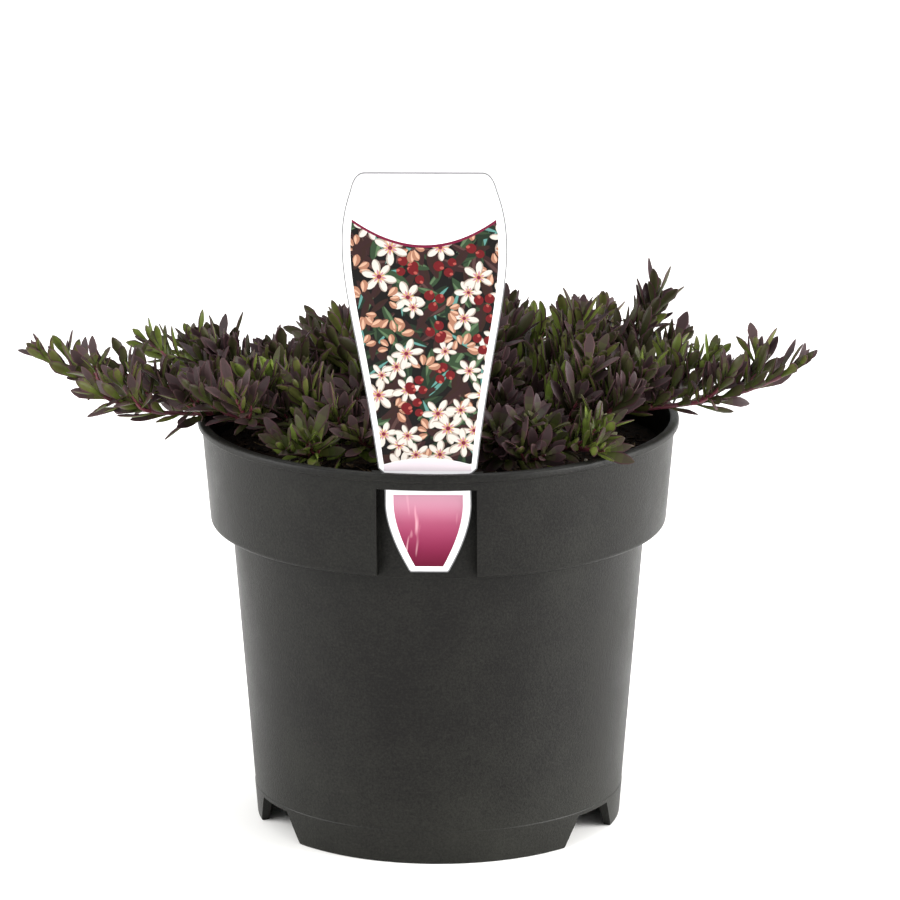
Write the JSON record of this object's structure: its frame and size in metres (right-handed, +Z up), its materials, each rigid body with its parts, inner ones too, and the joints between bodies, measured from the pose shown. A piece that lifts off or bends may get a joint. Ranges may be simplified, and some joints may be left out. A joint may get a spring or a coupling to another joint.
{
  "type": "potted creeping shrub",
  "caption": "Low creeping shrub with small purple-green leaves in a round black nursery pot with drain notches and a tall plant label standing in the rim's slot.",
  "frame": {"origin": "middle of the pot's flat underside, at the mount base", "axes": "+Z up; -Y is the front, where the label stands in the pot's collar; +X to the right seen from the front, along the longest runners"},
  "size_m": [0.3193, 0.2278, 0.2824],
  "materials": {
    "pot": "satin black moulded plastic",
    "growing_mix": "damp bark and peat",
    "label": "white printed plastic sheet",
    "bark": "thin brown-red bark",
    "foliage": "slightly glossy fleshy leaves, purple over green"
  },
  "bodies": {
    "root": {"pot": "pot", "soil": "growing_mix", "label": "label", "crown": "bark", "bough_front_mid": "bark", "bough_front": "bark", "bough_front_right": "bark", "bough_right_front": "bark", "bough_right": "bark", "bough_right_rear": "bark", "bough_rear_right": "bark", "bough_rear_mid": "bark", "bough_rear": "bark", "bough_rear_left": "bark", "bough_left_rear": "bark", "bough_left": "bark", "bough_left_front": "bark", "bough_front_left": "bark", "shoot_front_mid_1": "foliage", "shoot_front_mid_2": "foliage", "shoot_front_1": "foliage", "shoot_front_2": "foliage", "shoot_front_3": "foliage", "shoot_front_right_1": "foliage", "shoot_front_right_2": "foliage", "shoot_right_front_1": "foliage", "shoot_right_front_2": "foliage", "shoot_right_1": "foliage", "shoot_right_2": "foliage", "shoot_right_rear_1": "foliage", "shoot_right_rear_2": "foliage", "shoot_rear_right_1": "foliage", "shoot_rear_right_2": "foliage", "shoot_rear_mid_1": "foliage", "shoot_rear_mid_2": "foliage", "shoot_rear_1": "foliage", "shoot_rear_2": "foliage", "shoot_rear_left_1": "foliage", "shoot_rear_left_2": "foliage", "shoot_left_rear_1": "foliage", "shoot_left_rear_2": "foliage", "shoot_left_rear_3": "foliage", "shoot_left_1": "foliage", "shoot_left_2": "foliage", "shoot_left_front_1": "foliage", "shoot_left_front_2": "foliage", "shoot_front_left_1": "foliage", "shoot_front_left_2": "foliage", "shoot_front_left_3": "foliage", "shoot_centre_1": "foliage", "shoot_centre_2": "foliage", "shoot_centre_3": "foliage", "shoot_centre_4": "foliage"}
  },
  "joints": []
}
